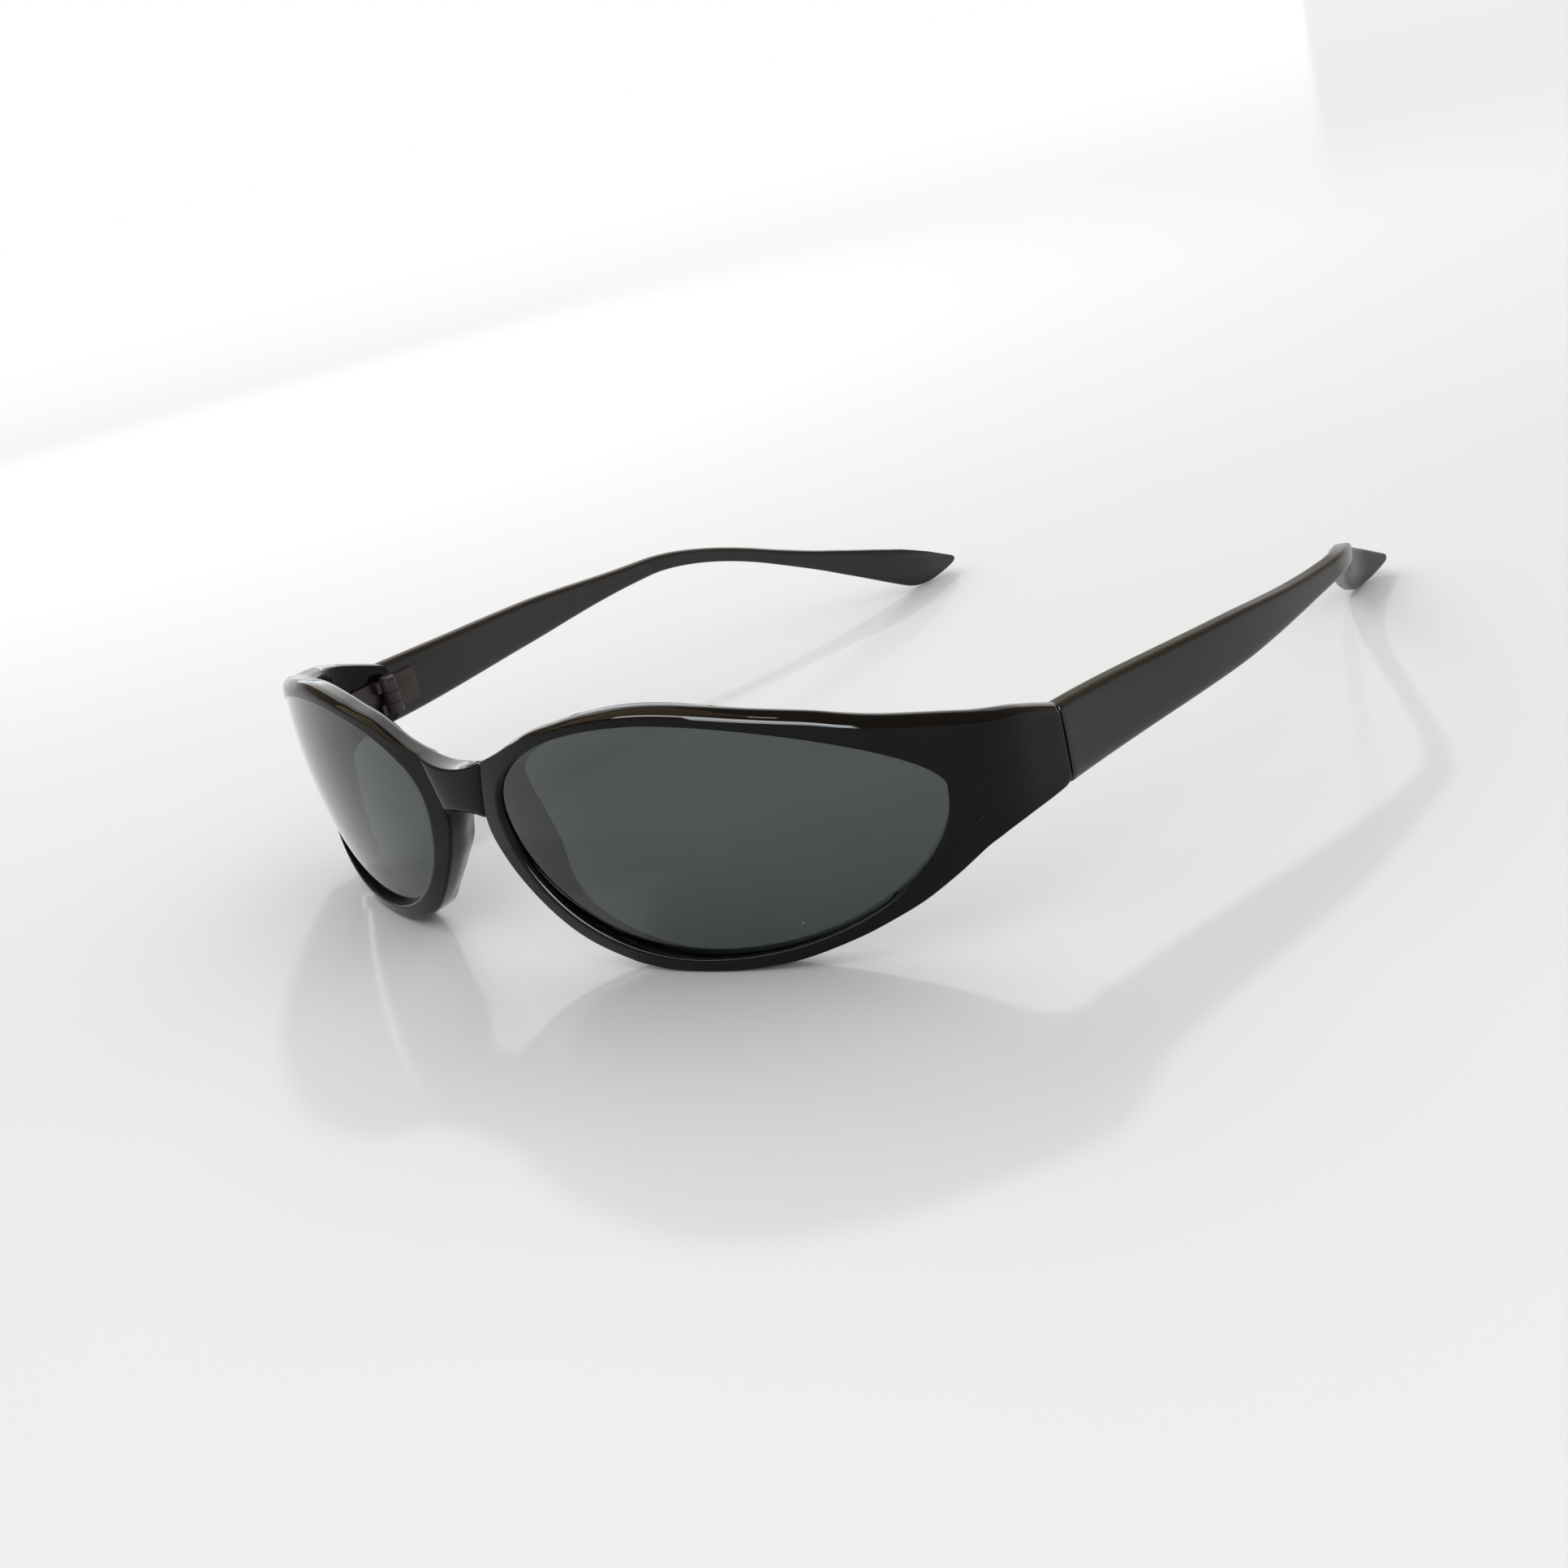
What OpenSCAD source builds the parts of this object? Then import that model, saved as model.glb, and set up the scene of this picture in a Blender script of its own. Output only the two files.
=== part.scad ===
// Oval wrap sunglasses: a one-piece front with moulded nose flanges, two curved lenses,
// two folding temples, and a three-knuckle metal hinge with a screw on each side.
// The front faces -Y, the wearer's left is +X, and z = 0 is the surface it stands on.

/* [Lens openings] */
// Opening from its tallest line towards the nose
open_in = 24.6; // [23.4:0.2:26]
// Opening from its tallest line towards the temple
open_out = 30.6; // [29:0.2:31.6]
// Opening from its widest line up
open_up = 11.9; // [11.1:0.1:12.7]
// Opening from its widest line down
open_down = 18.8; // [18:0.2:19.8]
// Gap between the two openings over the nose
nose_w = 15.8; // [15:0.2:17]

/* [Front] */
// Radius of the curved front face
face_r = 70.4; // [68.4:0.4:74]
// Frontmost line of each half, from the opening's tallest line towards the nose
face_shift = 18.8; // [17.6:0.2:20]
// Centre of the curved face above the opening's widest line
face_lift = 0.9; // [0:0.1:3]
// Thickness of the front, from its face to its back
face_t = 4.2; // [4:0.1:4.6]
// Thickness of the side at the seam, and of the temple there
side_t = 3.2; // [2.9:0.1:3.6]
// Width of the rim above the opening
rim_up = 2.4; // [2:0.1:2.9]
// Width of the rim below the opening
rim_down = 2; // [1.6:0.1:2.4]
// Width of the rim beside the nose
rim_in = 3.9; // [3.5:0.1:4.3]
// Reach of the rim's oval past the opening at the temple end
rim_out = 5.9; // [5.3:0.1:6.5]
// Wall beside the opening where the front turns back
side_wall = 4.7; // [4.1:0.1:5.3]
// Radius of the turn from the face to the side
turn_r = 11; // [9.5:0.5:12.5]
// Straight side between the turn and the seam
side_l = 7; // [6.6:0.2:8.6]
// Fall of the top edge from the face to the seam, in degrees
top_fall = 18.3; // [16:0.1:20]
// Fall of the top edge towards the nose, in degrees
brow_fall = 21; // [17:0.5:23]
// Height of the bevel between the face and the top edge, up to the opening's tallest line
bevel_h = 1; // [0.7:0.1:1.3]
// Height of the bevel where it runs out at the side
bevel_out_h = 1.9; // [1.4:0.1:2.3]
// Slope of the bevel, in degrees
bevel_rise = 45; // [38:1:52]

/* [Bridge and nose flanges] */
// Height of the bridge
bridge_h = 6.6; // [5.6:0.2:7.4]
// Middle of the bridge above the opening's widest line
bridge_lift = 2.5; // [2:0.1:3]
// Thickness of the bridge
bridge_t = 2.2; // [2:0.1:2.6]
// Setback of the bridge behind the frontmost line
bridge_back = 1.4; // [1.1:0.1:1.7]
// Rise of the bridge's top edge from its middle to the rims
bridge_sag = 0.8; // [0.4:0.1:1.2]
// Reach of the nose flanges behind the front
flange_d = 1.2; // [0.8:0.1:2]
// Splay of the nose flanges and of the rims beside the nose, in degrees
flange_splay = 24; // [18:1:28]

/* [Lenses] */
// Lens thickness
lens_t = 1.6; // [1.4:0.1:1.8]
// Radius of the lens's front surface
lens_r = 67.2; // [65:0.4:70]
// Depth of the lens behind the front's face beside the nose
lens_inset = 2; // [1.7:0.1:2.2]
// Depth of the lens behind the front's face at the temple end
lens_out_inset = 0.6; // [0.5:0.05:0.8]
// Depth of the groove that holds the lens edge
groove_d = 0.8; // [0.6:0.1:0.9]
// Clearance of the lens in its groove
lens_fit = 0.05; // [0.03:0.01:0.08]

/* [Temples] */
// Height of the temple at the seam
arm_root_h = 10; // [9:0.2:11]
// Height of the temple at its waist, before the end widens
arm_waist_h = 2.5; // [2.3:0.1:3.4]
// Height of the widened end
arm_end_h = 7.5; // [6.8:0.1:8.2]
// Middle of the temple at the seam, below the opening's widest line
arm_low = 1.5; // [1:0.1:2]
// Thickness of the temple's end
arm_end_t = 2.3; // [2:0.1:2.9]
// Length from the seam to where the temple bends down
bend_y = 73.2; // [70:0.4:78]
// Length from the seam to where the temple's end meets the ground
toe_y = 108; // [104:1:114]
// Rise of the cut end, in degrees
toe_rise = 8.5; // [6:0.5:12]
// Rounding of the tip
tip_r = 0.6; // [0.5:0.1:0.9]
// Outward bow of the temple
arm_bow = 2.6; // [1:0.2:3]
// Inward sweep of the temple's end
arm_sweep = 21.8; // [18:0.1:23]
// Gap at the seam between the front and the temple
seam_gap = 0.25; // [0.2:0.05:0.35]

/* [Hinges] */
// Radius of the hinge knuckles
knuckle_r = 1.4; // [1.3:0.05:1.5]
// Height of the three knuckles together
hinge_h = 5.4; // [5:0.1:6]
// Gap between neighbouring knuckles
knuckle_gap = 0.1; // [0.08:0.01:0.16]
// Clearance between the knuckles and the mouldings beside them
knuckle_clear = 0.2; // [0.15:0.05:0.3]
// Length of each hinge leaf
leaf_l = 5; // [4.4:0.2:5.6]
// Thickness of each hinge leaf
leaf_t = 1.1; // [1:0.05:1.3]
// Height of the leaf above the moulding that it is set in
leaf_proud = 0.5; // [0.4:0.05:0.6]
// Clearance round the leaf in its pocket
leaf_fit = 0.03; // [0.02:0.01:0.05]
// Radius of the screw's shank
screw_r = 0.6; // [0.5:0.05:0.7]
// Radial clearance of the screw in its knuckles
screw_fit = 0.03; // [0.02:0.01:0.05]
// Radius of the screw's head
head_r = 1.15; // [1:0.05:1.25]
// Height of the screw's head
head_h = 0.5; // [0.4:0.05:0.6]
// Width of the screwdriver slot
slot_w = 0.3; // [0.25:0.05:0.4]
// Depth of the screwdriver slot
slot_d = 0.25; // [0.2:0.05:0.3]

/* [Hidden] */

// Smoothness of cylinders and spheres, and the corners on an oval
$fn = 96;
full_turn = 360;
oval_steps = 72;
// Steps along a temple and half of the bridge, and lengths along the brow
arm_steps = 36;
bridge_steps = 8;
brow_step = 2;
// Directions round the tip, down from its top edge, and round the back of a flange
tip_arc = [60:-20:-80];
flange_arc = [0:15:180];
// Length over which the temple's slope is taken
slope_l = 0.2;
// Overrun of a cut past the surface that it opens
past = 1;

// How full each quarter of an oval is: up and out, up and in, down and in, down and out
open_fullness = [1.64, 2.06, 1.93, 2.1];
rim_fullness = [1.84, 2.8, 2, 1.8];

open_x = nose_w / 2 + open_in;
open_z = rim_down + open_down;
half_w = open_x + open_out + side_wall;
inner_x = half_w - side_t;
rim_top_z = open_z + open_up + rim_up;

// Centre of the ball whose surface is the front face
face_x = open_x - face_shift;
face_y = sqrt(pow(face_r - turn_r, 2) - pow(half_w - turn_r - face_x, 2)) - side_l;
face_z = open_z + face_lift;
front_y = face_y - face_r;
// Radius of the turn on the inside, where it runs smoothly into the back and the side
back_r = face_r - face_t;
side_x = inner_x - face_x;
inner_turn_r = (pow(back_r, 2) - pow(side_x, 2) - pow(face_y + side_l, 2)) / (2 * (back_r - side_x));

// Length over which the top edge starts to fall towards the nose, and rounds in which the
// crease of the bevel settles on the face
brow_r = 8;
crease_tries = 3;

arm_z = open_z - arm_low;
seam_top_z = arm_z + arm_root_h / 2;

// Temple line: length of its bend down, start of its sweep and end of it past the toe,
// length of its bow, start of its widened end, length of its taper, and slope after the bend
bend_l = 20;
sweep_from = 62;
sweep_past = 4;
bow_l = 85;
waist_from = 84;
taper_l = 66;
arm_slope = (arm_z - arm_end_h / 2) / (toe_y - bend_y);

// Round tip between the temple's top edge and its cut end
toe_slope = tan(toe_rise);
top_len = norm([1, arm_slope]);
cut_len = norm([1, toe_slope]);
tip_line = arm_z + arm_slope * bend_y + arm_end_h / 2;
tip_cy = (tip_line + toe_slope * toe_y - tip_r * (top_len + cut_len)) / (arm_slope + toe_slope);
tip_cz = toe_slope * (tip_cy - toe_y) + tip_r * cut_len;
tip_y = tip_cy + tip_r;

hinge = [inner_x - knuckle_clear - knuckle_r, seam_gap / 2];
knuckle_h = (hinge_h - 2 * knuckle_gap) / 3;
hinge_z = arm_z - hinge_h / 2;
leaf_from = sqrt(pow(knuckle_r + knuckle_clear, 2) - pow(inner_x - leaf_proud - hinge.x, 2));

// Half of the overall depth lies before the origin and half behind it
mid_y = (tip_y + front_y) / 2;

function ease(t) = let (u = min(max(t, 0), 1)) u * u * (3 - 2 * u);

// Oval round the opening's centre, with its four half-widths and its fullness in each quarter
function quarter(a) = a < 90 ? 0 : a < 180 ? 1 : a < 270 ? 2 : 3;
function oval_point(a, out, up, in, down, fullness) =
  let (n = fullness[quarter(a)])
  let (w = cos(a) > 0 ? out : in)
  let (h = sin(a) > 0 ? up : down)
  let (r = pow(pow(abs(cos(a)) / w, n) + pow(abs(sin(a)) / h, n), -1 / n))
  [open_x + r * cos(a), open_z + r * sin(a)];
function oval(out, up, in, down, fullness) =
  [for (i = [0:oval_steps - 1])
    oval_point(full_turn * i / oval_steps, out, up, in, down, fullness)];
function open_oval(grow) =
  oval(open_out + grow, open_up + grow, open_in + grow, open_down + grow, open_fullness);
function rim_oval() =
  oval(open_out + rim_out, open_up + rim_up, open_in + rim_in, open_down + rim_down, rim_fullness);

// Fall of the rim's top edge at a distance from its highest point towards the nose
function brow_drop(d) = d < 0 ? 0 : tan(brow_fall) * (norm([d, brow_r]) - brow_r);
function top_at(x, y) = seam_top_z - brow_drop(open_x - x) - y * tan(top_fall);

// Front face over a point of the front view, and the crease where the bevel leaves it
function face_at(x, z) = face_y - sqrt(pow(face_r, 2) - pow(x - face_x, 2) - pow(z - face_z, 2));
function bevel_at(x) =
  bevel_h + (bevel_out_h - bevel_h) * max(x - open_x, 0) / (half_w - open_x);
function crease_z(x, z, tries) =
  tries == 0 ? z : crease_z(x, top_at(x, face_at(x, z)) - bevel_at(x), tries - 1);

// Centre of the ball whose surface is the lens's front: it passes the nose and the temple end
// of the opening at their own depths behind the face
function behind_face(x, depth) =
  let (v = [x - face_x, face_at(x, open_z) - face_y])
  [face_x, face_y] + v * (1 - depth / norm(v));
lens_chord = [
  behind_face(open_x - open_in, lens_inset),
  behind_face(open_x + open_out, lens_out_inset)
];
chord = lens_chord[1] - lens_chord[0];
lens_mid = (lens_chord[0] + lens_chord[1]) / 2
  + [-chord.y, chord.x] / norm(chord) * sqrt(pow(lens_r, 2) - pow(norm(chord) / 2, 2));

// Temple seen from above: its outer line, and points set in from it by its thickness
function arm_x(y) =
  half_w + arm_bow * pow(sin(180 * min(max(y, 0) / bow_l, 1)), 2)
  - arm_sweep * ease((y - sweep_from) / (toe_y + sweep_past - sweep_from));
function arm_normal(y) =
  let (s = (arm_x(y + slope_l / 2) - arm_x(y - slope_l / 2)) / slope_l)
  [-1, s] / norm([1, s]);
function arm_t(y) = side_t + (arm_end_t - side_t) * ease(y / toe_y);
function arm_inner(y) = [arm_x(y), y] + arm_t(y) * arm_normal(y);

// Temple seen from the side: its middle line and its height
function arm_mid(y) =
  let (u = min(max(y - bend_y + bend_l / 2, 0), bend_l))
  arm_z - arm_slope * (u * u / (2 * bend_l) + max(y - bend_y - bend_l / 2, 0));
function arm_h(y) =
  let (u = min(y / taper_l, 1))
  arm_waist_h + (arm_root_h - arm_waist_h) * (1 - (u + ease(u)) / 2)
  + (arm_end_h - arm_waist_h) * ease((y - waist_from) / (toe_y - waist_from));

// Steps along the temple, from before the seam to an end
function steps(from, to) = [for (i = [0:arm_steps]) from + (to - from) * i / arm_steps];
function turned(list) = [for (i = [len(list) - 1:-1:0]) list[i]];

// A front view pushed along Y, and a side view pushed along X
module along_y(from, to) {
  translate([0, to, 0])
    rotate([90, 0, 0])
      linear_extrude(to - from)
        children();
}
module along_x(from, to) {
  translate([from, 0, 0])
    rotate([90, 0, 90])
      linear_extrude(to - from)
        children();
}
// Everything is drawn with the seam at y = 0 and moved back as a whole
module placed() {
  translate([0, -mid_y, 0])
    children();
}
module right_side() {
  mirror([1, 0, 0])
    children();
}

// Seen from above: the half inside a side wall at x, with its rounded turn to the face
module plan(x, turn_r, back) {
  turn = [x - turn_r, -side_l];
  away = (turn - [face_x, face_y]) / norm(turn - [face_x, face_y]);
  difference() {
    translate([0, front_y - past])
      square([x, back - front_y + past]);
    difference() {
      polygon([
        turn,
        turn + 2 * turn_r * away,
        [x + past, turn.y - 2 * turn_r],
        [x + past, turn.y]
      ]);
      translate(turn)
        circle(turn_r);
    }
  }
}
// The half inside a ball's surface and that side wall
module curved_body(ball_r, x, turn_r, back) {
  intersection() {
    translate([face_x, face_y, face_z])
      sphere(ball_r);
    translate([0, 0, -past])
      linear_extrude(rim_top_z + 2 * past)
        plan(x, turn_r, back);
  }
}
// Front view of one half: the rim's oval and the side that runs back from it
module half_outline() {
  polygon(rim_oval());
  translate([open_x, seam_top_z - arm_root_h])
    square([half_w - open_x, rim_top_z - seam_top_z + arm_root_h]);
}
// All that lies below the top edge, which falls back to the seam and down towards the nose
module below_top() {
  brow = [for (x = [0:brow_step:open_x]) [x, -brow_drop(open_x - x) * cos(top_fall)]];
  translate([0, 0, seam_top_z])
    rotate([-top_fall, 0, 0])
      along_y(2 * front_y, rim_top_z)
        polygon(concat(
          [[-past, -brow_drop(open_x) * cos(top_fall)]],
          brow,
          [[half_w + past, 0], [half_w + past, -2 * rim_top_z], [-past, -2 * rim_top_z]]
        ));
}
// All that lies behind the bevel, which rises from the crease on the face to the top edge
module behind_bevel() {
  crease = [
    for (x = [0:brow_step:half_w + past])
      let (z = crease_z(x, rim_top_z - bevel_h, crease_tries))
      [x, z * cos(bevel_rise) - face_at(x, z) * sin(bevel_rise)]
  ];
  out = crease[len(crease) - 1];
  rotate([bevel_rise, 0, 0])
    along_y(2 * front_y, rim_top_z)
      polygon(concat(
        [[-past, crease[0].y]],
        crease,
        [[half_w + 2 * past, out.y], [half_w + 2 * past, -rim_top_z], [-past, -rim_top_z]]
      ));
}
// The thin curved layer between two depths behind the lens's front, inside an outline
module lens_layer(from, to) {
  intersection() {
    difference() {
      translate([lens_mid.x, lens_mid.y, open_z])
        sphere(lens_r - from);
      translate([lens_mid.x, lens_mid.y, open_z])
        sphere(lens_r - to);
    }
    along_y(front_y - past, past)
      children();
  }
}
// All that lies on the lens's side of the rim's wall beside the nose, which splays outwards
module beside_nose() {
  edge_x = open_x - open_in - rim_in;
  translate([edge_x, front_y + bridge_back, 0])
    rotate([0, 0, -flange_splay])
      along_y(-turn_r, half_w) {
        polygon([for (p = rim_oval()) [(p.x - edge_x) * cos(flange_splay), p.y]]);
        translate([(open_x - edge_x) * cos(flange_splay), 0])
          square([2 * half_w, rim_top_z + past]);
      }
}
// Nose flange: it runs back from the rim beside the nose
module nose_flange() {
  flange_top = open_z + bridge_lift + bridge_h / 2;
  flange_low = rim_down + groove_d;
  root_y = front_y + face_t + past;
  intersection() {
    along_y(root_y, root_y + face_t + flange_d)
      intersection() {
        difference() {
          polygon(rim_oval());
          polygon(open_oval(groove_d));
        }
        square([open_x - open_in / 2, flange_top]);
      }
    beside_nose();
    along_x(0, open_x)
      polygon(concat(
        [[root_y, flange_low], [root_y, flange_top]],
        [for (a = flange_arc)
          [
            root_y + past + flange_d * sin(a),
            flange_top + (flange_low - flange_top) * 2 * a / full_turn
          ]]
      ));
  }
}
// Bridge: set back from the rims, with a dished face and a saddle-shaped top
module bridge() {
  half = open_x - open_in - rim_in / 2;
  mid_z = open_z + bridge_lift;
  face = front_y + bridge_back;
  across = [for (i = [-bridge_steps:bridge_steps]) i / bridge_steps];
  top = [for (u = across) [half * u, mid_z + bridge_h / 2 + bridge_sag * u * u]];
  bottom = [for (u = across) [half * u, mid_z - bridge_h / 2 - bridge_sag * u * u / 2]];
  dish_r = 3 * half;
  difference() {
    along_y(face - bridge_sag / 2, face + bridge_t)
      polygon(concat(top, turned(bottom)));
    translate([0, face - dish_r, 0])
      cylinder(r = dish_r, h = rim_top_z);
  }
}

// Hinge, drawn for the wearer's left: its leaf's plate and the knuckles that carry the screw
module leaf_plate(grow) {
  translate([inner_x - leaf_proud, leaf_from - grow, hinge_z - grow])
    cube([leaf_t + grow, leaf_l + 2 * grow, hinge_h + 2 * grow]);
}
module knuckle(from, count) {
  z = hinge_z + from * (knuckle_h + knuckle_gap);
  h = count * knuckle_h + (count - 1) * knuckle_gap;
  difference() {
    union() {
      translate([hinge.x, 0, z])
        cylinder(r = knuckle_r, h = h);
      // Web from the knuckle to the leaf's plate
      translate([hinge.x, 0, z])
        cube([inner_x - leaf_proud / 2 - hinge.x, leaf_from + leaf_t, h]);
    }
    translate([hinge.x, 0, z - past])
      cylinder(r = screw_r + screw_fit, h = h + 2 * past);
  }
}
module temple_leaf() {
  translate([0, hinge.y, 0]) {
    leaf_plate(0);
    knuckle(1, 1);
  }
}
module front_leaf() {
  translate([0, hinge.y, 0])
    mirror([0, 1, 0]) {
      leaf_plate(0);
      knuckle(0, 1);
      knuckle(2, 1);
    }
}
module screw() {
  translate([hinge.x, hinge.y, hinge_z]) {
    cylinder(r = screw_r, h = hinge_h);
    difference() {
      translate([0, 0, hinge_h])
        cylinder(r = head_r, h = head_h);
      translate([-slot_w / 2, -head_r - past, hinge_h + head_h - slot_d])
        cube([slot_w, 2 * (head_r + past), slot_d + past]);
    }
  }
}

// One half of the front, with its opening, its lens groove and its hinge pocket
module front_half() {
  difference() {
    intersection() {
      curved_body(face_r, half_w, turn_r, 0);
      along_y(front_y - past, past)
        half_outline();
      below_top();
      behind_bevel();
      beside_nose();
    }
    curved_body(back_r, inner_x, inner_turn_r, past);
    along_y(front_y - past, past)
      polygon(open_oval(0));
    lens_layer(-lens_fit, lens_t + lens_fit)
      polygon(open_oval(groove_d + lens_fit));
    translate([0, hinge.y, 0])
      mirror([0, 1, 0])
        leaf_plate(leaf_fit);
  }
  nose_flange();
}
module front_frame() {
  color("#1d1c1d")
    placed() {
      front_half();
      right_side()
        front_half();
      bridge();
    }
}
module lens() {
  color("#3f4a4a")
    placed()
      lens_layer(0, lens_t)
        polygon(open_oval(groove_d));
}
module temple() {
  band = steps(-past, tip_y + past);
  outline = steps(seam_gap, tip_cy);
  below = steps(seam_gap, toe_y);
  color("#222122")
    placed()
      difference() {
        intersection() {
          linear_extrude(rim_top_z)
            polygon(concat([for (y = band) [arm_x(y), y]], turned([for (y = band) arm_inner(y)])));
          along_x(0, half_w + 2 * arm_bow)
            polygon(concat(
              [for (y = outline) [y, arm_mid(y) + arm_h(y) / 2]],
              [for (a = tip_arc) [tip_cy + tip_r * cos(a), tip_cz + tip_r * sin(a)]],
              turned([for (y = below) [y, arm_mid(y) - arm_h(y) / 2]])
            ));
        }
        translate([0, hinge.y, 0])
          leaf_plate(leaf_fit);
      }
}
module hinge_metal() {
  color("#8b8782")
    placed()
      children();
}

front_frame();
lens();  // lens_left
right_side() lens();  // lens_right
temple();  // temple_left
right_side() temple();  // temple_right
hinge_metal() front_leaf();  // front_hinge_leaf_left
right_side() hinge_metal() front_leaf();  // front_hinge_leaf_right
hinge_metal() temple_leaf();  // temple_hinge_leaf_left
right_side() hinge_metal() temple_leaf();  // temple_hinge_leaf_right
hinge_metal() screw();  // hinge_screw_left
right_side() hinge_metal() screw();  // hinge_screw_right
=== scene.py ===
import math
import bmesh
import bpy
import numpy as np
from mathutils import Matrix, Vector


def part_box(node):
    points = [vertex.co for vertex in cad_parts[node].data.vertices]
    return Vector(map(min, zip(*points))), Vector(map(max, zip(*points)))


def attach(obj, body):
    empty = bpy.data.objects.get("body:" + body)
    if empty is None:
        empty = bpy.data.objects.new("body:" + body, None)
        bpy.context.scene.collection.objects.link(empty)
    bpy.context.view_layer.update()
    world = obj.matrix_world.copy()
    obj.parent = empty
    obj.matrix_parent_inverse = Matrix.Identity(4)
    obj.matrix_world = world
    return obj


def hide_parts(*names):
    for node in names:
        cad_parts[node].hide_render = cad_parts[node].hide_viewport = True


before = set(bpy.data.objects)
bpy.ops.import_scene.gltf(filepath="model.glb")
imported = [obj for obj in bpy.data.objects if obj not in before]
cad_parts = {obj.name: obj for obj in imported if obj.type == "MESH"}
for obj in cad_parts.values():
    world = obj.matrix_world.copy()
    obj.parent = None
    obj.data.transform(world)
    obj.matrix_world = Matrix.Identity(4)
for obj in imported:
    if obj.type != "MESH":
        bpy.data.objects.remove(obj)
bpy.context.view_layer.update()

# lengths are millimetres with the seam at y = 0, place() turns them into the frame's metres
millimetre = 0.001
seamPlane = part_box("front_frame")[1].y


def place(points):
    p = np.array(points, float) * millimetre
    p[..., 1] += seamPlane
    return p


def smoothStep(t):
    t = np.clip(t, 0, 1)
    return t * t * (3 - 2 * t)


def between(x, knots, values):
    # a smooth curve through the values, level at its ends and at each peak, that never overshoots
    knots, values = np.array(knots, float), np.array(values, float)
    slope = np.diff(values) / np.diff(knots)
    lean = np.zeros(len(knots))
    product, total = slope[:-1] * slope[1:], slope[:-1] + slope[1:]
    lean[1:-1] = np.where(product > 0, 2 * product / np.where(product > 0, total, 1), 0)
    x = np.clip(x, knots[0], knots[-1])
    i = np.clip(np.searchsorted(knots, x) - 1, 0, len(knots) - 2)
    width = knots[i + 1] - knots[i]
    t = (x - knots[i]) / width
    return ((1 + 2 * t) * (1 - t) ** 2 * values[i] + t * (1 - t) ** 2 * width * lean[i]
            + t * t * (3 - 2 * t) * values[i + 1] - t * t * (1 - t) * width * lean[i + 1])


def smoothLine(points, count, finePerSpan=24):
    # smooth line through the points, spaced evenly
    p = np.array(points, float)
    longer = np.vstack([2 * p[0] - p[1], p, 2 * p[-1] - p[-2]])
    fine = []
    for i in range(len(p) - 1):
        a, b, c, d = longer[i:i + 4]
        t = np.linspace(0, 1, finePerSpan, endpoint=False)[:, None]
        fine.append(0.5 * (2 * b + (c - a) * t + (2 * a - 5 * b + 4 * c - d) * t ** 2
                           + (3 * b - a - 3 * c + d) * t ** 3))
    fine = np.vstack(fine + [p[-1:]])
    step = np.r_[0, np.cumsum(np.linalg.norm(np.diff(fine, axis=0), axis=1))]
    want = np.linspace(0, step[-1], count)
    return np.stack([np.interp(want, step, fine[:, k]) for k in range(p.shape[1])], axis=1)


def cleanMesh(mesh, weld, sharp=None, side=1):
    # joins points nearer than weld, drops slivers and turns the faces outwards; side -1 mirrors the mesh
    # weld and sliver are in metres
    sliver = 1e-6
    bm = bmesh.new()
    bm.from_mesh(mesh)
    for v in bm.verts:
        v.co.x *= side
    bmesh.ops.remove_doubles(bm, verts=bm.verts, dist=weld)
    bmesh.ops.dissolve_degenerate(bm, edges=bm.edges, dist=sliver)
    bmesh.ops.recalc_face_normals(bm, faces=bm.faces)
    bm.to_mesh(mesh)
    bm.free()
    mesh.shade_smooth()
    if sharp:
        mesh.set_sharp_from_angle(angle=math.radians(sharp))


def makeMesh(name, points, faces, sharp=None, weld=2e-6):
    mesh = bpy.data.meshes.new(name)
    mesh.from_pydata([tuple(p) for p in points], [], faces)
    cleanMesh(mesh, weld, sharp)
    obj = bpy.data.objects.new(name, mesh)
    bpy.context.scene.collection.objects.link(obj)
    return obj


def feed(tree, slot, value):
    # a socket is linked, a plain value is set
    if isinstance(value, bpy.types.NodeSocket):
        tree.links.new(value, slot)
    else:
        slot.default_value = value


def mathNode(tree, operation, *values):
    node = tree.nodes.new("ShaderNodeMath")
    node.operation = operation
    for slot, value in zip(node.inputs, values):
        feed(tree, slot, value)
    return node.outputs[0]


def rampNode(tree, value, low, high):
    # 0 to 1, eased, while the value goes from low to high
    node = tree.nodes.new("ShaderNodeMapRange")
    node.interpolation_type = "SMOOTHSTEP"
    feed(tree, node.inputs["Value"], value)
    feed(tree, node.inputs["From Min"], low)
    feed(tree, node.inputs["From Max"], high)
    return node.outputs["Result"]


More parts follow.
